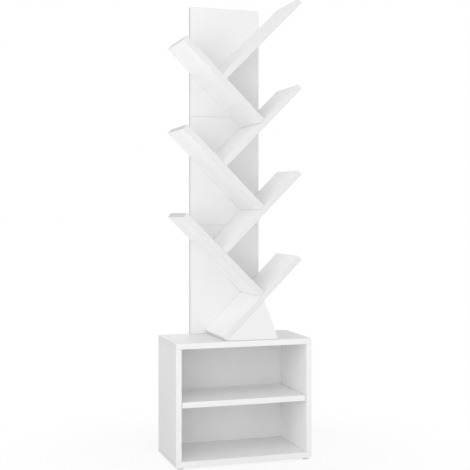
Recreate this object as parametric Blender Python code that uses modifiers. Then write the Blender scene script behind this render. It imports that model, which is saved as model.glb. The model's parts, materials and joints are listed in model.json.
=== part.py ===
"""Bookcase: a tree of slanted shelves on an upright back panel, standing on a low case with two bays.

Metres, +Z up, the front towards -Y. The origin lies on the floor, under the middle of the case.
Every board but the case's back is cut from one thickness of white melamine-faced chipboard.
"""

import math

import bmesh
import bpy
from mathutils import Matrix, Vector

# Boards
BOARD = 0.016  # thickness
EDGE_ROUND = 0.0006  # radius along every board's edges
JOINT_GAP = 0.0003  # left wherever two pieces meet
OVERRUN = 0.002  # how far a cut runs out past the face that it opens

# Case
CASE_WIDTH = 0.400
CASE_DEPTH = 0.210
CASE_HEIGHT = 0.342  # without the feet
BACK_THICKNESS = 0.003
REBATE_WIDTH = 0.008  # how far the case's back runs into each side
MIDDLE_SHELF_RECESS = 0.003  # from the case's front to the middle shelf's

# Feet: round glides, each with a nail
FOOT_DIAMETER = 0.017
FOOT_HEIGHT = 0.005
FOOT_ROUND = 0.001
FOOT_SIDE_INSET = 0.014  # from the case's outer side to the foot's middle
FOOT_FRONT_INSET = 0.011  # from the case's front and back
NAIL_DIAMETER = 0.0025
NAIL_LENGTH = 0.011

# Shelf pins
PIN_DIAMETER = 0.005
PIN_IN_SIDE = 0.009
PIN_UNDER_SHELF = 0.009
COLLAR_DIAMETER = 0.007
COLLAR_THICKNESS = 0.0007
PIN_INSET = 0.035  # from the case's front and back

# Tree
SHELF_COUNT = 7
SHELF_LENGTH = 0.318
SHELF_DEPTH = 0.180
SHELF_PITCH = 0.245  # height between two shelves that lean the same way
PANEL_WIDTH = 0.213
PANEL_SECTIONS = 3
PANEL_DROP = 0.005  # from the highest shelf's tip down to the panel's top edge
BRACE_BASE = 0.153  # the brace's length along the case

# Wooden dowels
DOWEL_DIAMETER = 0.008
DOWEL_CHAMFER = 0.001
DOWEL_IN_EDGE = 0.018  # depth in a board's edge
DOWEL_IN_FACE_SHARE = 0.6  # of the board's thickness, where a dowel enters its face
CORNER_DOWEL_INSET = 0.045  # from the slanted shelves' front edges
SEAM_DOWEL_SPACING = 0.090

# Countersunk screws
SCREW_DIAMETER = 0.004
SCREW_HEAD_DIAMETER = 0.008
SCREW_CONE = 0.0025  # height of the head
SCREW_SINK = 0.0003  # from the board's face down to the head's
SCREW_POINT = 0.004
SCREW_GRIP = 0.028  # length in the second board
SHELF_SCREW_SHARES = (0.25, 0.8)  # along the stretch of a slanted shelf that the panel backs
BASE_SCREW_SPACING = 0.120
CASE_FIXING_INSET = 0.045  # from the case's front and back to its screws and dowels

# Mesh resolution
EDGE_STEPS = 2
FASTENER_SIDES = 12
FOOT_SIDES = 20
FOOT_ROUND_STEPS = 2
WELD_SHARE = 0.1  # of the joint gap: points closer than this are one point
SMOOTH_BELOW = math.radians(35)

# Finishes: base colour, roughness, metallic
WHITE_MELAMINE = ((0.86, 0.86, 0.86, 1), 0.42, 0)
WHITE_HARDBOARD = ((0.80, 0.80, 0.79, 1), 0.55, 0)
BEECH = ((0.58, 0.40, 0.22, 1), 0.65, 0)
ZINC = ((0.62, 0.62, 0.64, 1), 0.35, 1)
GREY_PLASTIC = ((0.74, 0.74, 0.75, 1), 0.5, 0)

# Sizes that follow from those above
ROOT_TWO = math.sqrt(2)
INNER_WIDTH = CASE_WIDTH - 2 * BOARD
INNER_HEIGHT = CASE_HEIGHT - 2 * BOARD
SIDE_HEIGHT = INNER_HEIGHT - 2 * JOINT_GAP
CASE_FLOOR = FOOT_HEIGHT + JOINT_GAP  # height of the case's underside
PANEL_FRONT = CASE_DEPTH / 2 - BOARD
SHELF_BACK = PANEL_FRONT - JOINT_GAP
SHELF_FRONT = SHELF_BACK - SHELF_DEPTH
FIRST_CORNER = JOINT_GAP + (BOARD - JOINT_GAP) / ROOT_TWO  # height over the case
TREE_TIP = FIRST_CORNER + (SHELF_COUNT - 1) * SHELF_PITCH / 2 + (JOINT_GAP + SHELF_LENGTH) / ROOT_TWO
PANEL_SECTION = (TREE_TIP - PANEL_DROP) / PANEL_SECTIONS - JOINT_GAP
DOWEL_IN_FACE = BOARD * DOWEL_IN_FACE_SHARE
FRONT_AND_REAR = (("front", -1), ("rear", 1))
LEFT_AND_RIGHT = (("left", -1), ("right", 1))
UP = Vector((0, 0, 1))
DOWN = -UP
BACKWARD = Vector((0, 1, 0))


def new_collection(name):
    collection = bpy.data.collections.new(name)
    bpy.context.scene.collection.children.link(collection)
    return collection


def new_frame(name, height):
    """An empty that carries the pieces placed from its height."""
    frame = bpy.data.objects.new(name, None)
    frame.location.z = height
    PARTS.objects.link(frame)
    return frame


def new_material(name, finish):
    colour, roughness, metallic = finish
    material = bpy.data.materials.new(name)
    material.use_nodes = True
    shader = material.node_tree.nodes["Principled BSDF"]
    shader.inputs["Base Color"].default_value = colour
    shader.inputs["Roughness"].default_value = roughness
    shader.inputs["Metallic"].default_value = metallic
    return material


def evaluated_mesh(obj):
    """A new mesh of the object with its modifiers applied, its loose seams closed."""
    bpy.context.view_layer.update()
    graph = bpy.context.evaluated_depsgraph_get()
    mesh = bpy.data.meshes.new_from_object(obj.evaluated_get(graph))
    shape = bmesh.new()
    shape.from_mesh(mesh)
    bmesh.ops.remove_doubles(shape, verts=shape.verts, dist=JOINT_GAP * WELD_SHARE)
    bmesh.ops.recalc_face_normals(shape, faces=shape.faces)
    shape.to_mesh(mesh)
    shape.free()
    return mesh


def box_mesh(name, size):
    shape = bmesh.new()
    bmesh.ops.create_cube(shape, size=1, matrix=Matrix.Diagonal((*size, 1)))
    mesh = bpy.data.meshes.new(name)
    shape.to_mesh(mesh)
    shape.free()
    return mesh


def turned_mesh(name, outline, sides):
    """A solid turned round Z. The outline's (radius, height) points run from the top down."""
    drawing = bpy.data.meshes.new(name + "_outline")
    points = [(radius, 0, height) for radius, height in outline]
    drawing.from_pydata(points, [(i, i + 1) for i in range(len(points) - 1)], [])
    lathe = bpy.data.objects.new(drawing.name, drawing)
    CUTTERS.objects.link(lathe)
    turn = lathe.modifiers.new("Turn", "SCREW")
    turn.steps = turn.render_steps = sides
    turn.use_merge_vertices = True
    turn.merge_threshold = JOINT_GAP * WELD_SHARE
    mesh = evaluated_mesh(lathe)
    bpy.data.objects.remove(lathe)
    mesh.name = name
    mesh.shade_smooth()
    mesh.set_sharp_from_angle(angle=SMOOTH_BELOW)
    return mesh


def outlined_mesh(name, outline, thickness):
    """A flat piece of this outline, centred on its own XY plane."""
    curve = bpy.data.curves.new(name + "_outline", "CURVE")
    curve.dimensions = "2D"
    curve.fill_mode = "BOTH"
    curve.extrude = thickness / 2
    spline = curve.splines.new("POLY")
    spline.points.add(len(outline) - 1)
    for point, (x, y) in zip(spline.points, outline):
        point.co = (x, y, 0, 1)
    spline.use_cyclic_u = True
    drawing = bpy.data.objects.new(curve.name, curve)
    CUTTERS.objects.link(drawing)
    mesh = evaluated_mesh(drawing)
    bpy.data.objects.remove(drawing)
    mesh.name = name
    return mesh


def add_piece(name, mesh, frame, middle, material, direction=UP):
    """A piece whose own Z axis points in this direction."""
    if not mesh.materials:
        mesh.materials.append(material)
    piece = bpy.data.objects.new(name, mesh)
    piece.parent = frame
    piece.location = middle
    piece.rotation_euler = direction.to_track_quat("Z", "Y").to_euler()
    PARTS.objects.link(piece)
    return piece


def add_cutter(name, mesh, frame, middle, targets, direction=UP):
    cutter = bpy.data.objects.new(name, mesh)
    cutter.parent = frame
    cutter.location = middle
    cutter.rotation_euler = direction.to_track_quat("Z", "Y").to_euler()
    cutter.hide_render = True
    cutter.display_type = "WIRE"
    CUTTERS.objects.link(cutter)
    for target in targets:
        cut = target.modifiers.new(name, "BOOLEAN")
        cut.operation = "DIFFERENCE"
        cut.object = cutter


def round_edges(board):
    bevel = board.modifiers.new("Edges", "BEVEL")
    bevel.width = EDGE_ROUND
    bevel.segments = EDGE_STEPS


def add_board(name, size, frame, middle):
    board = add_piece(name, box_mesh(name, size), frame, middle, new_material(name, WHITE_MELAMINE))
    round_edges(board)
    return board


def dowel_outline(length):
    radius = DOWEL_DIAMETER / 2
    end = length / 2
    chamfered = [(0, end), (radius - DOWEL_CHAMFER, end), (radius, end - DOWEL_CHAMFER)]
    return chamfered + [(across, -height) for across, height in reversed(chamfered)]


def drilled_outline(diameter, top, bottom):
    """A plain drilled hole, wider than what it holds by the joint gap all round."""
    radius = diameter / 2 + JOINT_GAP
    return [(0, top), (radius, top), (radius, bottom), (0, bottom)]


def screw_outline(grow=0, above=0):
    """A screw hanging from the board's face at height 0. A hole is grown, and runs out above the face."""
    head = SCREW_HEAD_DIAMETER / 2 + grow
    shank = SCREW_DIAMETER / 2 + grow
    tip = -(BOARD + JOINT_GAP + SCREW_GRIP)
    rim = [(0, above), (head, above)] if above else [(0, -SCREW_SINK)]
    return rim + [
        (head, -SCREW_SINK),
        (shank, -SCREW_SINK - SCREW_CONE),
        (shank, tip + SCREW_POINT),
        (0, tip - grow),
    ]


def pin_outline():
    """A pin whose collar stands on height 0, its stem reaching down into the side and up under the shelf."""
    pin = PIN_DIAMETER / 2
    collar = COLLAR_DIAMETER / 2
    top = COLLAR_THICKNESS + PIN_UNDER_SHELF
    return [
        (0, top),
        (pin, top),
        (pin, COLLAR_THICKNESS),
        (collar, COLLAR_THICKNESS),
        (collar, 0),
        (pin, 0),
        (pin, -PIN_IN_SIDE),
        (0, -PIN_IN_SIDE),
    ]


def foot_outline():
    """A glide standing on height 0, its nail pointing up."""
    nail = NAIL_DIAMETER / 2
    disc = FOOT_DIAMETER / 2
    quarter = math.pi / 2 / FOOT_ROUND_STEPS
    rounded = [
        (
            disc - FOOT_ROUND * (1 - math.cos(step * quarter)),
            FOOT_ROUND * (1 - math.sin(step * quarter)),
        )
        for step in range(FOOT_ROUND_STEPS + 1)
    ]
    nail_top = FOOT_HEIGHT + NAIL_LENGTH
    return [(0, nail_top), (nail, nail_top), (nail, FOOT_HEIGHT), (disc, FOOT_HEIGHT)] + rounded + [(0, 0)]


def add_fastener(name, meshes, frame, middle, direction, targets):
    """A fastener and the hole that it cuts in the pieces it joins."""
    solid, hole, material = meshes
    add_piece(name, solid, frame, middle, material, direction)
    add_cutter(name + "_hole", hole, frame, middle, targets, direction)


def fastener_meshes(name, finish, outline, hole_outline, sides=FASTENER_SIDES):
    solid = turned_mesh(name, outline, sides)
    hole = turned_mesh(name + "_hole", hole_outline, FASTENER_SIDES)
    return solid, hole, new_material(name, finish)


def dowel_meshes(name, length):
    end = length / 2 + JOINT_GAP
    return fastener_meshes(name, BEECH, dowel_outline(length), drilled_outline(DOWEL_DIAMETER, end, -end))


def add_face_dowel(name, frame, seat, direction, faced, edged):
    """A dowel across the seat where the edge of one board rests on the face of another."""
    middle = seat + direction * (DOWEL_IN_EDGE - DOWEL_IN_FACE) / 2
    add_fastener(name, FACE_DOWEL, frame, middle, direction, (faced, edged))


def build_case(frame):
    panel = (CASE_WIDTH, CASE_DEPTH, BOARD)
    bottom = add_board("bottom_panel", panel, frame, (0, 0, BOARD / 2))
    top = add_board("top_panel", panel, frame, (0, 0, CASE_HEIGHT - BOARD / 2))
    sides = {
        name: add_board(
            name + "_side",
            (BOARD, CASE_DEPTH, SIDE_HEIGHT),
            frame,
            (across * (CASE_WIDTH - BOARD) / 2, 0, CASE_HEIGHT / 2),
        )
        for name, across in LEFT_AND_RIGHT
    }
    add_case_back(frame, sides)
    add_middle_shelf(frame, sides)
    for end, depth in FRONT_AND_REAR:
        for name, across in LEFT_AND_RIGHT:
            place = f"{end}_{name}"
            x = across * (CASE_WIDTH - BOARD) / 2
            y = depth * (CASE_DEPTH / 2 - CASE_FIXING_INSET)
            add_fastener(f"case_screw_{place}", SCREW, frame, (x, y, 0), DOWN, (bottom, sides[name]))
            seat = Vector((x, y, CASE_HEIGHT - BOARD))
            add_face_dowel(f"case_dowel_{place}", frame, seat, DOWN, top, sides[name])
            add_foot(place, frame, across, depth, bottom)
    return top


def add_case_back(frame, sides):
    """Thin hardboard in a rebate of each side, flush with the case's rear edges."""
    size = (INNER_WIDTH + 2 * (REBATE_WIDTH - JOINT_GAP), BACK_THICKNESS, SIDE_HEIGHT)
    middle = (0, (CASE_DEPTH - BACK_THICKNESS) / 2, CASE_HEIGHT / 2)
    material = new_material("case_back", WHITE_HARDBOARD)
    add_piece("case_back", box_mesh("case_back", size), frame, middle, material)
    rebate_depth = BACK_THICKNESS + JOINT_GAP
    cut_size = (INNER_WIDTH + 2 * REBATE_WIDTH, rebate_depth + OVERRUN, CASE_HEIGHT)
    cut_middle = (0, (CASE_DEPTH - rebate_depth + OVERRUN) / 2, CASE_HEIGHT / 2)
    add_cutter("back_rebate", box_mesh("back_rebate", cut_size), frame, cut_middle, sides.values())


def add_middle_shelf(frame, sides):
    """A loose shelf, halfway up, on four pins whose collars its ends clear."""
    end_gap = COLLAR_THICKNESS + 2 * JOINT_GAP
    front = MIDDLE_SHELF_RECESS - CASE_DEPTH / 2
    back = CASE_DEPTH / 2 - BACK_THICKNESS - JOINT_GAP
    size = (INNER_WIDTH - 2 * end_gap, back - front, BOARD)
    add_board("middle_shelf", size, frame, (0, (front + back) / 2, CASE_HEIGHT / 2))
    pin_height = (CASE_HEIGHT - BOARD - PIN_DIAMETER) / 2 - JOINT_GAP
    for end, depth in FRONT_AND_REAR:
        for name, across in LEFT_AND_RIGHT:
            x = across * (INNER_WIDTH / 2 - JOINT_GAP)
            y = depth * (CASE_DEPTH / 2 - PIN_INSET)
            inward = Vector((-across, 0, 0))
            add_fastener(f"shelf_pin_{end}_{name}", PIN, frame, (x, y, pin_height), inward, (sides[name],))


def add_foot(place, frame, across, depth, bottom):
    x = across * (CASE_WIDTH / 2 - FOOT_SIDE_INSET)
    y = depth * (CASE_DEPTH / 2 - FOOT_FRONT_INSET)
    add_fastener(f"foot_{place}", FOOT, frame, (x, y, -CASE_FLOOR), UP, (bottom,))


def shelf_side(index):
    """1 for a slanted shelf that leans up to the right, and -1 for one that leans up to the left."""
    return 1 if index % 2 == 0 else -1


def shelf_corner(index):
    """Where this shelf's upper face meets the face of the one below, in the middle of its depth."""
    return Vector(
        (
            -shelf_side(index) * SHELF_PITCH / 4,
            (SHELF_BACK + SHELF_FRONT) / 2,
            FIRST_CORNER + index * SHELF_PITCH / 2,
        )
    )


def along_shelf(index):
    return Vector((shelf_side(index), 0, 1)).normalized()


def out_of_shelf(index):
    """Square to the shelf's upper face. Neighbours meet square, so this is also along the next shelf."""
    return along_shelf(index + 1)


def add_slanted_shelves(frame):
    """From the lowest up, each with its square lower end on the face of the one before."""
    shelves = []
    for index in range(SHELF_COUNT):
        name = f"{'right' if shelf_side(index) > 0 else 'left'}_shelf_{index // 2 + 1}"
        along, out = along_shelf(index), out_of_shelf(index)
        middle = shelf_corner(index) + along * (JOINT_GAP + SHELF_LENGTH / 2) - out * BOARD / 2
        shelf = add_board(name, (SHELF_LENGTH, SHELF_DEPTH, BOARD), frame, middle)
        shelf.rotation_euler = along.to_track_quat("X", "Z").to_euler()
        if shelves:
            seat = shelf_corner(index) - out * BOARD / 2
            seat.y = SHELF_FRONT + CORNER_DOWEL_INSET
            add_face_dowel(f"corner_dowel_{index}", frame, seat, along, shelves[-1], shelf)
        shelves.append(shelf)
    return shelves


def add_panel(frame, case_top):
    """Boards stacked edge on edge, dowelled at each seam and screwed to the case from below."""
    y = CASE_DEPTH / 2 - BOARD / 2
    sections = []
    for index in range(PANEL_SECTIONS):
        foot = JOINT_GAP + index * (PANEL_SECTION + JOINT_GAP)
        middle = (0, y, foot + PANEL_SECTION / 2)
        section = add_board(f"back_panel_{index + 1}", (PANEL_WIDTH, BOARD, PANEL_SECTION), frame, middle)
        for side, across in LEFT_AND_RIGHT:
            if sections:
                seam = Vector((across * SEAM_DOWEL_SPACING / 2, y, foot - JOINT_GAP / 2))
                joined = (sections[-1], section)
                add_fastener(f"seam_dowel_{index}_{side}", SEAM_DOWEL, frame, seam, UP, joined)
            else:
                start = Vector((across * BASE_SCREW_SPACING / 2, y, -BOARD))
                add_fastener(f"base_screw_{side}", SCREW, frame, start, DOWN, (case_top, section))
        sections.append(section)
    return sections


def add_shelf_screws(frame, shelves, sections):
    """Two screws from behind the panel into the back edge of each slanted shelf."""
    backed = min(SHELF_LENGTH, (SHELF_PITCH / 4 + PANEL_WIDTH / 2) * ROOT_TWO)
    for index, shelf in enumerate(shelves):
        for height, share in zip(("low", "high"), SHELF_SCREW_SHARES):
            middle_line = shelf_corner(index) - out_of_shelf(index) * BOARD / 2
            start = middle_line + along_shelf(index) * backed * share
            start.y = CASE_DEPTH / 2
            name = f"{shelf.name}_screw_{height}"
            add_fastener(name, SCREW, frame, start, BACKWARD, (*sections, shelf))


def add_brace(frame, case_top):
    """A triangle under the lowest shelf, flush with its front. Its peak is under the next shelf's seat."""
    under = shelf_corner(0) + along_shelf(0) * JOINT_GAP - out_of_shelf(0) * BOARD
    toe = under.x + JOINT_GAP * ROOT_TWO
    peak = shelf_corner(1).x
    heel = toe + BRACE_BASE
    outline = [(toe, JOINT_GAP), (heel, JOINT_GAP), (peak, JOINT_GAP + peak - toe)]
    mesh = outlined_mesh("tree_brace", outline, BOARD)
    y = SHELF_FRONT + BOARD / 2
    brace = add_piece("tree_brace", mesh, frame, (0, y, 0), new_material("tree_brace", WHITE_MELAMINE))
    brace.rotation_euler = (math.pi / 2, 0, 0)
    round_edges(brace)
    seat = Vector(((toe + heel) / 2, y, 0))
    add_face_dowel("brace_dowel", frame, seat, UP, case_top, brace)


for old in list(bpy.data.objects):
    bpy.data.objects.remove(old)

PARTS = new_collection("bookcase")
CUTTERS = new_collection("cutters")
FACE_DOWEL = dowel_meshes("face_dowel", DOWEL_IN_FACE + DOWEL_IN_EDGE)
SEAM_DOWEL = dowel_meshes("seam_dowel", 2 * DOWEL_IN_EDGE)
SCREW = fastener_meshes("screw", ZINC, screw_outline(), screw_outline(JOINT_GAP, OVERRUN))
PIN = fastener_meshes(
    "shelf_pin",
    ZINC,
    pin_outline(),
    drilled_outline(PIN_DIAMETER, OVERRUN, -PIN_IN_SIDE - JOINT_GAP),
)
FOOT = fastener_meshes(
    "foot",
    GREY_PLASTIC,
    foot_outline(),
    drilled_outline(NAIL_DIAMETER, FOOT_HEIGHT + NAIL_LENGTH + JOINT_GAP, 0),
    FOOT_SIDES,
)

case_frame = new_frame("case_frame", CASE_FLOOR)
tree_frame = new_frame("tree_frame", CASE_FLOOR + CASE_HEIGHT)
case_top = build_case(case_frame)
panel_sections = add_panel(tree_frame, case_top)
slanted_shelves = add_slanted_shelves(tree_frame)
add_shelf_screws(tree_frame, slanted_shelves, panel_sections)
add_brace(tree_frame, case_top)
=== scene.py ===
import json
import math

import bmesh
import bpy
from mathutils import Euler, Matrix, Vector

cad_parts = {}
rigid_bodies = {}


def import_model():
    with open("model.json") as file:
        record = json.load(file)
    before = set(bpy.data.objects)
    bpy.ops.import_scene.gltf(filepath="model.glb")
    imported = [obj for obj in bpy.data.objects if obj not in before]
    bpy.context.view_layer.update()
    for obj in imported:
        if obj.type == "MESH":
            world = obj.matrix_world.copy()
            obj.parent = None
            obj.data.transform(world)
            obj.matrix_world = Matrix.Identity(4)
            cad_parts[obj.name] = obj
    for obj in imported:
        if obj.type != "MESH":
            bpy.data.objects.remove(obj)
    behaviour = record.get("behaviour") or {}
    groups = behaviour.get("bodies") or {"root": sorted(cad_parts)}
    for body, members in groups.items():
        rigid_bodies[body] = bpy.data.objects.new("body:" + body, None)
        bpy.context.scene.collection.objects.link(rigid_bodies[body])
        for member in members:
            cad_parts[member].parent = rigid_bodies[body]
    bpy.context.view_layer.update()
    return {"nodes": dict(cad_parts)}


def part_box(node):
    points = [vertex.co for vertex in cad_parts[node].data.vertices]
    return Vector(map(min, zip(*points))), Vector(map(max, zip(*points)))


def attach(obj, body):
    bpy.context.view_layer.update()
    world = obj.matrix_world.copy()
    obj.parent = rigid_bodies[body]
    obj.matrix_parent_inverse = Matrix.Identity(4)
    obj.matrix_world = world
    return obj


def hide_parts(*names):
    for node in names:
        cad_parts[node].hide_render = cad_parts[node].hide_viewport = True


for old in list(bpy.data.objects):
    bpy.data.objects.remove(old)
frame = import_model()
nodes = frame["nodes"]
scene = bpy.context.scene
quarterTurn = math.pi / 2
print("frame loaded:", len(nodes), "nodes")


# small helpers for node trees

usualNoise = (0.3, 0.7)                 # most of a noise's values lie between these


def addNode(tree, kind, **settings):
    node = tree.nodes.new(kind)
    for name, value in settings.items():
        setattr(node, name, value)
    return node


def feed(tree, socket, value):          # links a socket, or sets a plain value on it
    if isinstance(value, bpy.types.NodeSocket):
        tree.links.new(value, socket)
    else:
        socket.default_value = value


def calc(tree, operation, first, second=0.0):
    node = addNode(tree, "ShaderNodeMath", operation=operation)
    feed(tree, node.inputs[0], first)
    feed(tree, node.inputs[1], second)
    return node.outputs[0]


def vectorCalc(tree, operation, first, second=(0, 0, 0), output="Vector"):
    node = addNode(tree, "ShaderNodeVectorMath", operation=operation)
    feed(tree, node.inputs[0], first)
    feed(tree, node.inputs[1], second)
    return node.outputs[output]


def axes(tree, vector):                 # its X, Y and Z
    node = addNode(tree, "ShaderNodeSeparateXYZ")
    feed(tree, node.inputs[0], vector)
    return node.outputs


def spread(tree, value, fromLow, fromHigh, toLow=0.0, toHigh=1.0):      # a smooth step between two values
    node = addNode(tree, "ShaderNodeMapRange", interpolation_type="SMOOTHSTEP")
    for name, number in zip(("Value", "From Min", "From Max", "To Min", "To Max"),
                            (value, fromLow, fromHigh, toLow, toHigh)):
        feed(tree, node.inputs[name], number)
    return node.outputs["Result"]


def spreadNoise(tree, value, low, high):
    return spread(tree, value, *usualNoise, low, high)


def mixColour(tree, factor, first, second):
    node = addNode(tree, "ShaderNodeMix", data_type="RGBA")
    feed(tree, node.inputs[0], factor)
    feed(tree, node.inputs[6], first)       # its two colours are sockets 6 and 7
    feed(tree, node.inputs[7], second)
    return node.outputs[2]


def stretched(tree, place, size):       # coordinates counted in grains of that size, in metres
    return vectorCalc(tree, "MULTIPLY", place, [1 / side for side in size])


def noise(tree, place, size, detail=2.0, roughness=0.5):
    node = addNode(tree, "ShaderNodeTexNoise")
    feed(tree, node.inputs["Vector"], stretched(tree, place, size))
    node.inputs["Scale"].default_value = 1.0
    node.inputs["Detail"].default_value = detail
    node.inputs["Roughness"].default_value = roughness
    return node.outputs["Fac"]


def grey(level):
    return (level, level, level, 1.0)


def newGroup(name, inputs, outputs):
    tree = bpy.data.node_groups.new(name, "ShaderNodeTree")
    for label, kind in inputs:
        tree.interface.new_socket(name=label, in_out="INPUT", socket_type="NodeSocket" + kind)
    for label, kind in outputs:
        tree.interface.new_socket(name=label, in_out="OUTPUT", socket_type="NodeSocket" + kind)
    return tree, tree.nodes.new("NodeGroupInput").outputs, tree.nodes.new("NodeGroupOutput").inputs


def useGroup(tree, group, **values):    # the group's outputs, with its inputs fed by name
    node = addNode(tree, "ShaderNodeGroup", node_tree=group)
    for name, value in values.items():
        feed(tree, node.inputs[name], value)
    return node.outputs


def newMaterial(name, roughness=0.5, metallic=0.0, ior=1.5):
    material = bpy.data.materials.new(name)
    material.use_nodes = True
    shader = material.node_tree.nodes["Principled BSDF"]
    shader.inputs["Roughness"].default_value = roughness
    shader.inputs["Metallic"].default_value = metallic
    shader.inputs["IOR"].default_value = ior
    return material, material.node_tree, shader


def addBump(tree, shader, height, relief):      # relief: the height of the pattern in metres
    bump = addNode(tree, "ShaderNodeBump")
    bump.inputs["Distance"].default_value = relief
    feed(tree, bump.inputs["Height"], height)
    feed(tree, shader.inputs["Normal"], bump.outputs["Normal"])


def ownPlace(tree, centre=(0, 0, 0), turn=(0, 0, 0)):       # from a piece's centre, along its own axes
    mapping = addNode(tree, "ShaderNodeMapping", vector_type="TEXTURE")
    mapping.inputs["Location"].default_value = centre
    mapping.inputs["Rotation"].default_value = turn
    coordinate = addNode(tree, "ShaderNodeTexCoord")
    feed(tree, mapping.inputs["Vector"], coordinate.outputs["Object"])
    return mapping.outputs["Vector"]


def facingRear(tree):                   # 1 where a surface faces straight back, -1 where straight ahead
    coordinate = addNode(tree, "ShaderNodeTexCoord")
    return axes(tree, coordinate.outputs["Normal"])["Y"]


# effects that more than one board shares

bandSoftness = 0.00006                  # metres over which the border of an edge band fades


def makeEdgeBand():
    tree, given, result = newGroup(
        "edgeBand",
        (("Place", "Vector"), ("HalfSize", "Vector"), ("Thickness", "Float")),
        (("Band", "Float"), ("Joint", "Float"), ("PaintedEnd", "Float")),
    )
    away = vectorCalc(tree, "ABSOLUTE", given["Place"])
    inside = axes(tree, vectorCalc(tree, "SUBTRACT", given["HalfSize"], away))
    depth = calc(tree, "MINIMUM", inside["X"], inside["Y"])     # how far in from the nearest edge
    past = calc(tree, "SUBTRACT", depth, given["Thickness"])
    feed(tree, result["Band"], spread(tree, past, -bandSoftness, bandSoftness, 1.0, 0.0))
    off = calc(tree, "ABSOLUTE", past)
    feed(tree, result["Joint"], spread(tree, off, bandSoftness, 2 * bandSoftness, 1.0, 0.0))
    atEnd = calc(tree, "LESS_THAN", inside["X"], bandSoftness)      # only on the end itself, where the painted tone of a left end goes
    onLeft = calc(tree, "LESS_THAN", axes(tree, given["Place"])["X"], 0.0)
    feed(tree, result["PaintedEnd"], calc(tree, "MULTIPLY", atEnd, onLeft))
    return tree


pearlLook = {                           # sizes in metres
    "Height": {"size": (0.0008, 0.0008, 0.0008), "detail": 1.5},
    "Tone": {"size": (0.16, 0.16, 0.16), "detail": 3.0},
    "Smudge": {"size": (0.05, 0.07, 0.05), "detail": 4.0, "roughness": 0.6},
}


def makePearlTexture():
    tree, given, result = newGroup(
        "pearlTexture",
        (("Place", "Vector"),),
        [(output, "Float") for output in pearlLook],
    )
    for output, pattern in pearlLook.items():
        feed(tree, result[output], noise(tree, given["Place"], **pattern))
    return tree


chipboardLook = {
    "chipSize": (0.0042, 0.0030, 0.0011),       # metres along, across and through the board
    "chipColours": (                            # from the darkest chips to the lightest
        (0.0, (0.22, 0.13, 0.07, 1)),
        (0.25, (0.42, 0.28, 0.16, 1)),
        (0.6, (0.58, 0.43, 0.27, 1)),
        (1.0, (0.72, 0.57, 0.39, 1)),
    ),
    "dust": {"size": (0.0009, 0.0009, 0.0003)},
    "dustDark": (0.45, 0.31, 0.18, 1),
    "dustLight": (0.66, 0.51, 0.34, 1),
    "skin": (0.55, 0.8),                # share of the way out where the outer layers of finer dust begin
    "pores": (0.28, 0.36),              # dust noise under these is a pore
    "poreColour": (0.10, 0.06, 0.03, 1),
    "chipRelief": 0.4,                  # against 1 for the dust
}


def makeChipboard():
    look = chipboardLook
    tree, given, result = newGroup(
        "chipboard",
        (("Place", "Vector"), ("HalfThickness", "Float")),
        (("Color", "Color"), ("Height", "Float")),
    )
    cells = addNode(tree, "ShaderNodeTexVoronoi")
    cells.inputs["Scale"].default_value = 1.0
    feed(tree, cells.inputs["Vector"], stretched(tree, given["Place"], look["chipSize"]))
    chip = addNode(tree, "ShaderNodeSeparateColor")
    feed(tree, chip.inputs[0], cells.outputs["Color"])
    chips = addNode(tree, "ShaderNodeValToRGB")
    for position, colour in look["chipColours"][1:-1]:
        chips.color_ramp.elements.new(position)
    for stop, (position, colour) in zip(chips.color_ramp.elements, look["chipColours"]):
        stop.position = position
        stop.color = colour
    feed(tree, chips.inputs[0], chip.outputs[0])
    dust = noise(tree, given["Place"], **look["dust"])
    through = calc(tree, "ABSOLUTE", axes(tree, given["Place"])["Z"])
    skin = spread(tree, calc(tree, "DIVIDE", through, given["HalfThickness"]), *look["skin"])
    dustColour = mixColour(tree, dust, look["dustDark"], look["dustLight"])
    mixed = mixColour(tree, skin, chips.outputs[0], dustColour)
    pores = spread(tree, dust, *look["pores"])
    feed(tree, result["Color"], mixColour(tree, pores, look["poreColour"], mixed))
    chipHeight = calc(tree, "MULTIPLY", cells.outputs["Distance"], look["chipRelief"])
    feed(tree, result["Height"], calc(tree, "ADD", chipHeight, dust))
    return tree


edgeBand = makeEdgeBand()
pearlTexture = makePearlTexture()
chipboard = makeChipboard()
print("shared effects built")


# the boards: white melamine with glued-on edge bands, raw chipboard at the rear of the case, and painted
# shade on some faces and band ends

melamine = {
    "face": 0.945,                  # brightness of the faces
    "paintedShade": {                     # painted shade: how much less bright the faces of some boards are made, standing for the shade that falls on them
        "left_shelf": 0.015,
        "back_panel": 0.06,
        "tree_brace": 0.09,
        "top_panel": 0.1,
        "left_side": 0.175,
    },
    "caseBands": (0.88, 0.74),      # brightness of the edge bands, and of the one on a board's left end, which is darker as a painted shade
    # the tree's edge bands: their usual tone is partly their own off-white and partly painted shade; the left
    # end's tone is painted shade, except on the right shelves, whose lower left ends are made lighter as
    # painted light against the shadow under them
    "treeBandsPaintedShade": {
        "back_panel": (0.875, 0.615),
        "tree_brace": (0.79, 0.615),
        "left_shelf": (0.78, 0.635),
        "right_shelf": (0.79, 0.94),
    },
    "toneChange": 0.015,            # how far the white wanders over a board
    "bandThickness": 0.0008,        # metres
    "jointTone": 0.2,               # the glue line between band and face, and how strongly it shows
    "jointDarkness": 0.22,
    "roughness": (0.48, 0.58),      # clean, smudged
    "smudges": (0.35, 0.75),        # smudge noise that is still clean, and that is fully smudged
    "bandRoughness": 0.55,
    "gloss": 0.3,                   # a satin surface reflects less than the usual 0.5
    "relief": 0.00001,              # metres
    "rawFacing": (0.9, 0.98),       # a face turned this far to the rear is raw chipboard
    "rawRoughness": 0.85,
    "rawRelief": 12.0,              # times that of the melamine
}
slant = math.pi / 4
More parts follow.
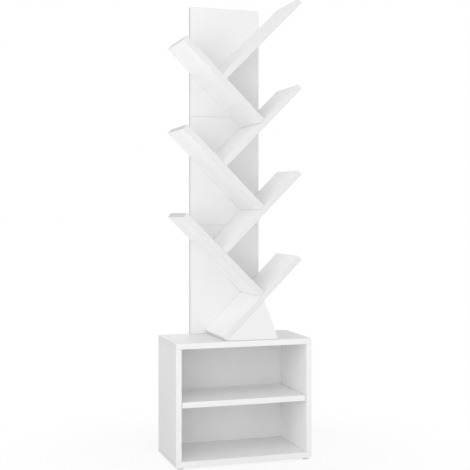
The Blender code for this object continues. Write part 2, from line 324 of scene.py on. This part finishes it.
boardTurns = {                      # a board's own x runs along it and its own z through its thickness
    "top_panel": (0, 0, 0),
    "bottom_panel": (0, 0, 0),
    "middle_shelf": (0, 0, 0),
    "left_side": (0, quarterTurn, 0),
    "right_side": (0, quarterTurn, 0),
    "back_panel": (quarterTurn, 0, 0),
    "right_shelf": (0, -slant, 0),
    "left_shelf": (0, slant, 0),
    "tree_brace": (quarterTurn, 0, 0),
}
bottomLow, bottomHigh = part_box("bottom_panel")
boardThickness = bottomHigh.z - bottomLow.z


def boardCentre(node):
    low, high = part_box(node)
    return (low + high) / 2


def boardHalfSize(node, turn):
    low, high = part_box(node)
    size = high - low
    if slant in (turn[1], -turn[1]):        # a slanted board's box shows its length and thickness together
        return Vector((size.x * math.sqrt(2) - boardThickness, size.y, boardThickness)) / 2
    own = Euler(turn).to_matrix().inverted() @ size
    return Vector([abs(side) for side in own]) / 2


def melamineMaterial(node, start):
    material, tree, shader = newMaterial("white_melamine_" + node)
    shader.inputs["Specular IOR Level"].default_value = melamine["gloss"]
    turn = boardTurns[start]
    place = ownPlace(tree, boardCentre(node), turn)
    half = boardHalfSize(node, turn)
    pearl = useGroup(tree, pearlTexture, Place=place)
    edge = useGroup(tree, edgeBand, Place=place, HalfSize=half, Thickness=melamine["bandThickness"])
    deep = melamine["toneChange"] / 2
    # painted shade: some boards' faces are made darker
    face = melamine["face"] - melamine["paintedShade"].get(start, 0)
    white = spreadNoise(tree, pearl["Tone"], face - deep, face + deep)
    # edge band tone, with a painted tone on the left end: painted shade on most boards, painted light on the
    # right shelves
    usual, paintedEnd = melamine["treeBandsPaintedShade"].get(start, melamine["caseBands"])
    bandWithPaintedEnd = mixColour(tree, edge["PaintedEnd"], grey(usual), grey(paintedEnd))
    coloured = mixColour(tree, edge["Band"], white, bandWithPaintedEnd)
    joint = calc(tree, "MULTIPLY", edge["Joint"], melamine["jointDarkness"])
    coloured = mixColour(tree, joint, coloured, grey(melamine["jointTone"]))
    gloss = spread(tree, pearl["Smudge"], *melamine["smudges"], *melamine["roughness"])
    gloss = mixColour(tree, edge["Band"], gloss, grey(melamine["bandRoughness"]))
    height = pearl["Height"]
    if start not in melamine["treeBandsPaintedShade"]:      # only the case's boards are raw at the rear
        chips = useGroup(tree, chipboard, Place=place, HalfThickness=half.z)
        raw = spread(tree, facingRear(tree), *melamine["rawFacing"])
        coloured = mixColour(tree, raw, coloured, chips["Color"])
        gloss = mixColour(tree, raw, gloss, grey(melamine["rawRoughness"]))
        height = mixColour(tree, raw, height, calc(tree, "MULTIPLY", chips["Height"], melamine["rawRelief"]))
    feed(tree, shader.inputs["Base Color"], coloured)
    feed(tree, shader.inputs["Roughness"], gloss)
    addBump(tree, shader, height, melamine["relief"])
    return material


def dressBoards():
    for node in sorted(nodes):
        for start in boardTurns:
            if node.startswith(start) and "screw" not in node:
                nodes[node].material_slots[0].material = melamineMaterial(node, start)


dressBoards()
print("boards dressed")


# the back of the case: thin hardboard, lacquered white in front and raw brown behind

hardboard = {
    "lacquer": 0.905,
    "toneChange": 0.02,
    "frontFacing": (-0.6, -0.5),    # how far a face turns to the front to be lacquered
    "raw": (0.23, 0.125, 0.06, 1),
    "rawLight": (0.36, 0.21, 0.11, 1),
    "fibres": {"size": (0.004, 0.004, 0.0012), "detail": 4.0, "roughness": 0.7},
    "screenPitch": 0.0016,          # the press screen leaves its mesh on the rear
    "screenRelief": 0.35,           # against 1 for the fibres
    "pearlRelief": 0.12,            # the same for the lacquer
    "roughness": (0.8, 0.5),        # raw, lacquered
    "gloss": 0.3,
    "ior": 1.48,
    "relief": 0.00012,              # metres
}


def hardboardMaterial():
    material, tree, shader = newMaterial("hardboard", ior=hardboard["ior"])
    shader.inputs["Specular IOR Level"].default_value = hardboard["gloss"]
    place = ownPlace(tree)
    front = spread(tree, facingRear(tree), *hardboard["frontFacing"], 1.0, 0.0)
    pearl = useGroup(tree, pearlTexture, Place=place)
    deep = hardboard["toneChange"] / 2
    lacquer = spreadNoise(tree, pearl["Tone"], hardboard["lacquer"] - deep, hardboard["lacquer"] + deep)
    fibres = noise(tree, place, **hardboard["fibres"])
    raw = mixColour(tree, fibres, hardboard["raw"], hardboard["rawLight"])
    parts = axes(tree, place)
    turns = 2 * math.pi / hardboard["screenPitch"]
    acrossWave = calc(tree, "SINE", calc(tree, "MULTIPLY", parts["X"], turns))
    upWave = calc(tree, "SINE", calc(tree, "MULTIPLY", parts["Z"], turns))
    screen = calc(tree, "MULTIPLY", acrossWave, upWave)
    rough = calc(tree, "ADD", calc(tree, "MULTIPLY", screen, hardboard["screenRelief"]), fibres)
    fine = calc(tree, "MULTIPLY", pearl["Height"], hardboard["pearlRelief"])
    feed(tree, shader.inputs["Base Color"], mixColour(tree, front, raw, lacquer))
    feed(tree, shader.inputs["Roughness"], spread(tree, front, 0.0, 1.0, *hardboard["roughness"]))
    addBump(tree, shader, mixColour(tree, front, rough, fine), hardboard["relief"])
    return material


nodes["case_back"].material_slots[0].material = hardboardMaterial()
print("case back dressed")


# finishes of the small parts, with sizes and relief in metres

zincLook = {
    "bright": (0.62, 0.63, 0.64, 1),
    "dull": (0.46, 0.47, 0.49, 1),
    "cloud": {"size": (0.003, 0.003, 0.003), "detail": 4.0, "roughness": 0.65},
    "scratch": {"size": (0.0001, 0.0012, 0.0001)},
    "roughness": (0.42, 0.27),      # dull, bright
    "relief": 0.000008,
}


def zincMaterial():
    look = zincLook
    material, tree, shader = newMaterial("zinc_plate", metallic=1.0)
    place = ownPlace(tree)
    cloud = noise(tree, place, **look["cloud"])
    scratch = noise(tree, place, **look["scratch"])
    feed(tree, shader.inputs["Base Color"], mixColour(tree, cloud, look["dull"], look["bright"]))
    feed(tree, shader.inputs["Roughness"], spreadNoise(tree, cloud, *look["roughness"]))
    addBump(tree, shader, scratch, look["relief"])
    return material


beechLook = {
    "light": (0.74, 0.54, 0.35, 1),
    "dark": (0.56, 0.36, 0.20, 1),
    "grain": {"size": (0.0008, 0.0008, 0.0008), "detail": 3.0, "roughness": 0.6},
    "flecks": {"size": (0.0004, 0.0025, 0.0025), "detail": 1.0},
    "fleckStart": (0.6, 0.75),      # fleck noise over these is dark
    "roughness": (0.55, 0.7),       # light, dark
    "relief": 0.00004,
}


def beechMaterial():
    look = beechLook
    material, tree, shader = newMaterial("beech")
    place = ownPlace(tree)
    grain = noise(tree, place, **look["grain"])
    flecks = spread(tree, noise(tree, place, **look["flecks"]), *look["fleckStart"])
    colour = mixColour(tree, grain, look["light"], look["dark"])
    feed(tree, shader.inputs["Base Color"], mixColour(tree, flecks, colour, look["dark"]))
    feed(tree, shader.inputs["Roughness"], spreadNoise(tree, grain, *look["roughness"]))
    addBump(tree, shader, grain, look["relief"])
    return material


footLook = {
    "light": (0.78, 0.78, 0.79, 1),
    "dark": (0.70, 0.70, 0.71, 1),
    "sparks": {"size": (0.0004, 0.0004, 0.0004)},
    "flow": {"size": (0.006, 0.006, 0.003)},
    "roughness": (0.48, 0.58),      # dark, light
    "ior": 1.49,
    "relief": 0.00003,
}


def footMaterial():
    look = footLook
    material, tree, shader = newMaterial("moulded_plastic", ior=look["ior"])
    place = ownPlace(tree)
    sparks = noise(tree, place, **look["sparks"])
    flow = noise(tree, place, **look["flow"])
    feed(tree, shader.inputs["Base Color"], mixColour(tree, flow, look["dark"], look["light"]))
    feed(tree, shader.inputs["Roughness"], spreadNoise(tree, flow, *look["roughness"]))
    addBump(tree, shader, sparks, look["relief"])
    return material


zinc = zincMaterial()
beech = beechMaterial()
footPlastic = footMaterial()
print("small finishes made")


# turned parts: feet, screws, pins, dowels and nails

sharpAngle = 35                         # degrees; steeper edges of a turned part stay sharp


def turnedMesh(name, outline, sides, ripple=None):      # outline: radius and depth under the top, round z
    shape = bmesh.new()
    rings = []
    for radius, depth in outline:
        ring = []
        for step in range(sides):
            angle = 2 * math.pi * step / sides
            reach = radius if ripple is None else ripple(radius, angle, depth)
            ring.append(shape.verts.new((reach * math.cos(angle), reach * math.sin(angle), -depth)))
        rings.append(ring)
    for upper, lower in zip(rings, rings[1:]):
        for step in range(sides):
            after = (step + 1) % sides
            shape.faces.new((upper[step], lower[step], lower[after], upper[after]))
    shape.faces.new(rings[0])
    shape.faces.new(reversed(rings[-1]))
    mesh = bpy.data.meshes.new(name)
    shape.to_mesh(mesh)
    shape.free()
    mesh.shade_smooth()
    mesh.set_sharp_from_angle(angle=math.radians(sharpAngle))
    return mesh


def addPiece(name, mesh, material, place, turn, slot, *stoodFor):
    piece = bpy.data.objects.new(name, mesh)
    scene.collection.objects.link(piece)
    piece.location = place
    piece.rotation_euler = turn
    if not mesh.materials:
        mesh.materials.append(material)
    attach(piece, "root")
    if stoodFor:
        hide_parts(*stoodFor)
    return piece


screwShape = {
    "headRadius": 0.004,
    "coneDepth": 0.0025,
    "rimDepth": 0.0003,
    "shankRadius": 0.002,
    "coreRadius": 0.0014,           # at the bottom of the thread
    "plainLength": 0.004,           # under the head
    "pitch": 0.0018,
    "ringsPerTurn": 6,
    "threadPower": 2,               # higher makes the thread's crest narrower
    "sides": 24,
    "pointLength": 0.004,
    "pointTaper": 0.85,             # share of the radius lost along the point
    "tipShare": 0.1,                # share of it left at the very tip
    "recessReach": 0.0022,          # the cross: arm, half width, depth and how it narrows
    "recessHalfWidth": 0.0006,
    "recessDepth": 0.0019,
    "recessTaper": 0.4,
}


def crossCutter():
    reach, half = screwShape["recessReach"], screwShape["recessHalfWidth"]
    arm = ((reach, -half), (reach, half), (half, half))
    outline = []
    for turn in range(4):
        cosine, sine = math.cos(turn * quarterTurn), math.sin(turn * quarterTurn)
        for x, y in arm:
            outline.append((x * cosine - y * sine, x * sine + y * cosine))
    shape = bmesh.new()
    lift, taper = screwShape["rimDepth"], screwShape["recessTaper"]
    top = [shape.verts.new((x, y, lift)) for x, y in outline]
    bottom = [shape.verts.new((x * taper, y * taper, -screwShape["recessDepth"])) for x, y in outline]
    shape.faces.new(top)
    shape.faces.new(reversed(bottom))
    count = len(outline)
    for step in range(count):
        after = (step + 1) % count
        shape.faces.new((top[step], bottom[step], bottom[after], top[after]))
    bmesh.ops.recalc_face_normals(shape, faces=shape.faces)
    mesh = bpy.data.meshes.new("crossCutter")
    shape.to_mesh(mesh)
    shape.free()
    return mesh


def screwMesh(length):
    s = screwShape
    threadStart = s["coneDepth"] + s["plainLength"]
    threadEnd = length - s["pointLength"]
    ringStep = s["pitch"] / s["ringsPerTurn"]
    outline = [(s["headRadius"] - s["rimDepth"] / 2, 0), (s["headRadius"], s["rimDepth"] / 2),
               (s["headRadius"], s["rimDepth"]), (s["shankRadius"], s["coneDepth"])]
    depth = threadStart
    while depth < length - ringStep:
        share = max(0.0, (depth - threadEnd) / s["pointLength"])
        outline.append((s["shankRadius"] * (1 - s["pointTaper"] * share), depth))
        depth += ringStep
    outline.append((s["shankRadius"] * s["tipShare"], length))

    def thread(radius, angle, depth):
        if depth < threadStart or depth >= length:
            return radius
        phase = (depth / s["pitch"] + angle / (2 * math.pi)) % 1
        crest = abs(2 * phase - 1) ** s["threadPower"]
        return radius * (s["coreRadius"] + (s["shankRadius"] - s["coreRadius"]) * crest) / s["shankRadius"]

    blank = bpy.data.objects.new("screwBlank", turnedMesh("screwBlank", outline, s["sides"], thread))
    cutter = bpy.data.objects.new("screwCutter", crossCutter())
    scene.collection.objects.link(blank)
    scene.collection.objects.link(cutter)
    cut = blank.modifiers.new("cross", "BOOLEAN")
    cut.operation = "DIFFERENCE"
    cut.object = cutter
    cut.solver = "EXACT"
    graph = bpy.context.evaluated_depsgraph_get()
    mesh = bpy.data.meshes.new_from_object(blank.evaluated_get(graph))
    bpy.data.objects.remove(blank)
    bpy.data.objects.remove(cutter)
    return mesh


def addScrews():
    meshes = {}
    for node in sorted(nodes):
        if "screw" not in node:
            continue
        low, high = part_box(node)
        middle = (low + high) / 2
        if "shelf" in node:         # driven in from behind
            length = high.y - low.y
            place, turn = (middle.x, high.y, middle.z), (-quarterTurn, 0, 0)
        else:                       # driven up from below
            length = high.z - low.z
            place, turn = (middle.x, middle.y, low.z), (2 * quarterTurn, 0, 0)
        key = round(length, 4)
        if key not in meshes:
            meshes[key] = screwMesh(length)
        addPiece(node + "_cross_head", meshes[key], zinc, place, turn, "zinc_plated_steel", node)


footShape = {
    "underBoard": 0.0003,           # the pad stops this far under the board
    "topEdge": 0.0004,
    "bottomRound": 0.001,
    "roundSteps": 5,
    "recessRadius": 0.0034,         # where the nail's head sits under the foot
    "recessDepth": 0.0007,
    "recessTaper": 0.9,
    "nailRadius": 0.00125,
    "nailPoint": 0.002,
    "nailTip": 0.15,                # the rest in radii of the nail: its tip, and its head's rim and top
    "nailHeadRim": 2,
    "nailHeadTop": 1.8,
    "sides": 64,
}


def footMesh(node):
    s = footShape
    low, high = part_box(node)
    radius = (high.x - low.x) / 2
    full = high.z - low.z
    padTop = full - (bottomLow.z - low.z - s["underBoard"])
    outline = [(s["nailRadius"] * s["nailTip"], 0), (s["nailRadius"], s["nailPoint"]),
               (s["nailRadius"], padTop), (radius - s["topEdge"], padTop), (radius, padTop + s["topEdge"])]
    for step in range(s["roundSteps"] + 1):
        angle = quarterTurn * step / s["roundSteps"]
        outline.append((radius - s["bottomRound"] * (1 - math.cos(angle)),
                        full - s["bottomRound"] * (1 - math.sin(angle))))
    outline.append((s["recessRadius"], full))
    outline.append((s["recessRadius"] * s["recessTaper"], full - s["recessDepth"]))
    outline.append((s["nailRadius"] * s["nailHeadRim"], full - s["recessDepth"]))
    outline.append((s["nailRadius"] * s["nailHeadTop"], full - s["recessDepth"] / 2))
    return turnedMesh("foot", outline, s["sides"])


def addFeet():
    mesh = footMesh("foot_front_left")
    for node in sorted(nodes):
        if node.startswith("foot_"):
            low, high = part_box(node)
            place = ((low.x + high.x) / 2, (low.y + high.y) / 2, high.z)
            addPiece(node + "_glide", mesh, footPlastic, place, (0, 0, 0), "grey_plastic", node)


pinShape = {
    "radius": 0.0025,
    "collarRadius": 0.0035,
    "collarThickness": 0.0007,
    "collarBevel": 0.2,             # share of its thickness
    "collarGap": 0.0003,            # to the side
    "endRound": 0.0006,
    "roundSteps": 4,
    "sides": 48,
}


def pinMesh(length, reach):         # reach: how much of it stands out of the side
    s = pinShape
    outline = []
    for step in range(s["roundSteps"] + 1):
        angle = quarterTurn * step / s["roundSteps"]
        outline.append((s["radius"] - s["endRound"] * (1 - math.sin(angle)),
                        s["endRound"] * (1 - math.cos(angle))))
    start = reach - s["collarThickness"] - s["collarGap"]
    end = start + s["collarThickness"]
    bevel = s["collarThickness"] * s["collarBevel"]
    outline += [(s["radius"], start), (s["collarRadius"] - bevel, start), (s["collarRadius"], start + bevel),
                (s["collarRadius"], end - bevel), (s["collarRadius"] - bevel, end), (s["radius"], end),
                (s["radius"], length - s["endRound"]), (s["radius"] - s["endRound"], length)]
    return turnedMesh("shelf_pin", outline, s["sides"])


def addPins():
    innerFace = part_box("right_side")[0].x
    mesh = None
    for node in sorted(nodes):
        if not node.startswith("shelf_pin"):
            continue
        low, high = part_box(node)
        middle = (low + high) / 2
        side = 1 if middle.x > 0 else -1
        tip = min(abs(low.x), abs(high.x))
        mesh = mesh or pinMesh(high.x - low.x, innerFace - tip)
        place = (side * tip, middle.y, middle.z)
        addPiece(node + "_turned", mesh, zinc, place, (0, -side * quarterTurn, 0), "zinc_plated_steel", node)


dowelShape = {
    "chamfer": 0.0008,
    "fluteCount": 12,
    "fluteDepth": 0.0003,
    "flutedFrom": 0.95,             # share of the radius, so that the chamfered ends stay round
    "sidesPerFlute": 4,
}


def dowelMesh(radius, length):
    s = dowelShape

    def flutes(reach, angle, depth):
        wave = (1 - math.cos(s["fluteCount"] * angle)) / 2
        return reach - s["fluteDepth"] * (wave if reach > radius * s["flutedFrom"] else 0)

    outline = [(radius - s["chamfer"], 0), (radius, s["chamfer"]),
               (radius, length - s["chamfer"]), (radius - s["chamfer"], length)]
    return turnedMesh("dowel", outline, s["fluteCount"] * s["sidesPerFlute"], flutes)


def addDowels():
    meshes = {}
    for node in sorted(nodes):
        if "dowel" not in node or node.startswith("corner"):    # the hidden slanted ones keep their solids
            continue
        low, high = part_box(node)
        middle = (low + high) / 2
        size = high - low
        key = round(size.z, 4)
        if key not in meshes:
            meshes[key] = dowelMesh(size.x / 2, size.z)
        addPiece(node + "_fluted", meshes[key], beech, (middle.x, middle.y, high.z), (0, 0, 0), "beech", node)


nailShape = {
    "headRadius": 0.0017,
    "headRise": 0.00035,
    "headProfile": ((0.3, 0), (0.8, 0.25), (1, 0.7), (1, 1.3)),     # shares of its radius and its rise
    "neck": 1.4,                    # share of the rise where the shank begins
    "shankRadius": 0.0006,
    "length": 0.0025,
    "perSide": 6,
    "edgeShare": 0.5,               # across the strip that lies in the side's rebate
    "endInset": 0.015,
    "sides": 20,
}


def nailMesh():
    s = nailShape
    outline = [(s["headRadius"] * across, s["headRise"] * down) for across, down in s["headProfile"]]
    outline += [(s["shankRadius"], s["headRise"] * s["neck"]), (s["shankRadius"], s["length"])]
    return turnedMesh("back_nail", outline, s["sides"])


def addNails():
    mesh = nailMesh()
    low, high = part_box("case_back")
    ledge = high.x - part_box("right_side")[0].x
    span = high.z - low.z - 2 * nailShape["endInset"]
    for name, side in (("left", -1), ("right", 1)):
        across = side * (high.x - ledge * nailShape["edgeShare"])
        for count in range(nailShape["perSide"]):
            up = low.z + nailShape["endInset"] + span * count / (nailShape["perSide"] - 1)
            nail = f"back_nail_{name}_{count + 1}"
            place = (across, high.y + nailShape["headRise"], up)
            addPiece(nail, mesh, zinc, place, (-quarterTurn, 0, 0), "zinc_plated_steel")


def dressSmallParts():
    finishes = {"dowel": beech, "screw": zinc, "pin": zinc, "foot": footPlastic}
    for node in nodes:
        for word, finish in finishes.items():
            if word in node:
                nodes[node].material_slots[0].material = finish


addScrews()
addFeet()
addPins()
addDowels()
addNails()
dressSmallParts()
print("small parts made")


# the studio: a plain pale floor, soft light and the camera

studio = {
    "floorSize": 12.0,
    "floorColour": 0.85,
    "floorRoughness": 0.9,
    "floorShade": 0.18,             # how much of the object's shadow shows on the white floor
    "shadeReach": (0.25, 0.8),      # metres from the middle over which it fades out
    "shownWhite": 1.0,              # what the camera sees of the floor and the world
    "worldStrength": 0.65,
    "aim": (0, 0, 0.65),            # the point that every softbox faces
}
softboxes = {                       # azimuth and elevation round the object, distance, size, watts
    "side": {"azimuth": -60, "elevation": 8, "distance": 3.0, "size": 1.8, "watts": 12.4},
    "key": {"azimuth": -30, "elevation": 2, "distance": 3.0, "size": 1.8, "watts": 14.4},
    "fill": {"azimuth": 45, "elevation": 2, "distance": 3.0, "size": 1.8, "watts": 11.3},
    "high": {"azimuth": -15, "elevation": 40, "distance": 3.0, "size": 1.8, "watts": 10.3},
    "rear": {"azimuth": 180, "elevation": 1, "distance": 3.0, "size": 2.2, "watts": 14.4},
}
bounce = {"place": (-2.6, 0, 0.012), "size": 1.6, "watts": 12.4}    # light thrown up by the floor on the left


def addLamp(name, size, watts):
    light = bpy.data.lights.new(name, "AREA")
    light.size = size
    light.energy = watts
    lamp = bpy.data.objects.new(name, light)
    scene.collection.objects.link(lamp)
    return lamp


def addSoftbox(name, look):
    azimuth, elevation = math.radians(look["azimuth"]), math.radians(look["elevation"])
    away = Vector((math.sin(azimuth) * math.cos(elevation), -math.cos(azimuth) * math.cos(elevation),
                   math.sin(elevation)))
    lamp = addLamp(name, look["size"], look["watts"])
    lamp.location = Vector(studio["aim"]) + away * look["distance"]
    lamp.rotation_euler = away.to_track_quat("Z", "Y").to_euler()


def addBounce():
    lamp = addLamp("floor_bounce", bounce["size"], bounce["watts"])
    lamp.location = bounce["place"]
    lamp.rotation_euler = (2 * quarterTurn, 0, 0)


def seenDirectly(tree):             # 1 for what the camera, a reflection or glass shows of the studio
    path = addNode(tree, "ShaderNodeLightPath")
    seen = calc(tree, "MAXIMUM", path.outputs["Is Camera Ray"], path.outputs["Is Glossy Ray"])
    return calc(tree, "MAXIMUM", seen, path.outputs["Is Transmission Ray"])


def addWorld():
    world = bpy.data.worlds.new("studio")
    scene.world = world
    world.use_nodes = True
    tree = world.node_tree
    strength = calc(tree, "MAXIMUM", seenDirectly(tree), studio["worldStrength"])
    background = tree.nodes["Background"]
    background.inputs["Color"].default_value = grey(studio["shownWhite"])
    feed(tree, background.inputs["Strength"], strength)


def addFloor():
    half = studio["floorSize"] / 2
    corners = [(-half, -half, 0), (half, -half, 0), (half, half, 0), (-half, half, 0)]
    mesh = bpy.data.meshes.new("floor")
    mesh.from_pydata(corners, [], [(0, 1, 2, 3)])
    floor = bpy.data.objects.new("floor", mesh)
    scene.collection.objects.link(floor)
    material, tree, shader = newMaterial("pale_floor", roughness=studio["floorRoughness"])
    shader.inputs["Base Color"].default_value = grey(studio["floorColour"])
    glow = addNode(tree, "ShaderNodeEmission")
    glow.inputs["Strength"].default_value = studio["shownWhite"]
    paint = addNode(tree, "ShaderNodeBsdfDiffuse")
    paint.inputs["Color"].default_value = grey(studio["shownWhite"])
    shown = addNode(tree, "ShaderNodeMixShader")
    distance = vectorCalc(tree, "LENGTH", ownPlace(tree), output="Value")
    feed(tree, shown.inputs[0], spread(tree, distance, *studio["shadeReach"], studio["floorShade"], 0.0))
    tree.links.new(glow.outputs[0], shown.inputs[1])
    tree.links.new(paint.outputs[0], shown.inputs[2])
    choice = addNode(tree, "ShaderNodeMixShader")
    feed(tree, choice.inputs[0], seenDirectly(tree))
    tree.links.new(shader.outputs[0], choice.inputs[1])
    tree.links.new(shown.outputs[0], choice.inputs[2])
    tree.links.new(choice.outputs[0], tree.nodes["Material Output"].inputs["Surface"])
    mesh.materials.append(material)


cameraLook = {
    "place": (-0.8633, -2.7081, 0.7115),
    "heading": -17.743,             # degrees, turned to the right
    "tilt": -0.571,                 # degrees, a little downwards
    "lens": 75.06,
    "sensor": 36,
    "shiftDown": 0.03,
}


def addCamera():
    data = bpy.data.cameras.new("camera")
    data.lens = cameraLook["lens"]
    data.sensor_width = cameraLook["sensor"]
    data.shift_y = -cameraLook["shiftDown"]
    camera = bpy.data.objects.new("camera", data)
    camera.location = cameraLook["place"]
    tilt, heading = math.radians(cameraLook["tilt"]), math.radians(cameraLook["heading"])
    camera.rotation_euler = (quarterTurn + tilt, 0, heading)
    scene.collection.objects.link(camera)
    scene.camera = camera


for name, look in softboxes.items():
    addSoftbox(name, look)
addBounce()
addWorld()
addFloor()
addCamera()
scene.view_settings.view_transform = "Standard"
print("studio set")
